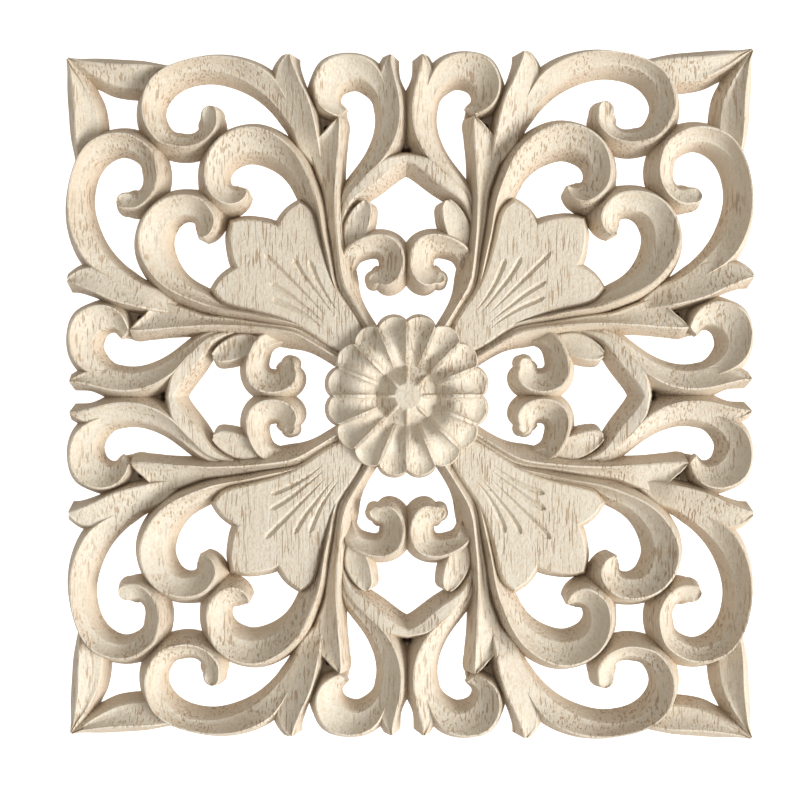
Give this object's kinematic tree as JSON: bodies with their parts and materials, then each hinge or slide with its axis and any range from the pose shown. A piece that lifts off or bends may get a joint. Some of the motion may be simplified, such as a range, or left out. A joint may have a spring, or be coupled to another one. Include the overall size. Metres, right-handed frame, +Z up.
{
  "type": "carved wooden applique",
  "caption": "Square pierced wooden applique: carved scrolls, leaves and a rosette over a flat back, to be fixed on furniture, a door or a wall.",
  "frame": {"origin": "centre of the flat back, behind the rosette", "axes": "+Y out of the flat back, so the carving faces -Y; +Z up along the grain, +X to the right seen from the front"},
  "size_m": [0.2006, 0.014, 0.2006],
  "materials": {
    "wood": "bare, matt"
  },
  "bodies": {
    "root": {"applique": "wood"}
  },
  "joints": []
}
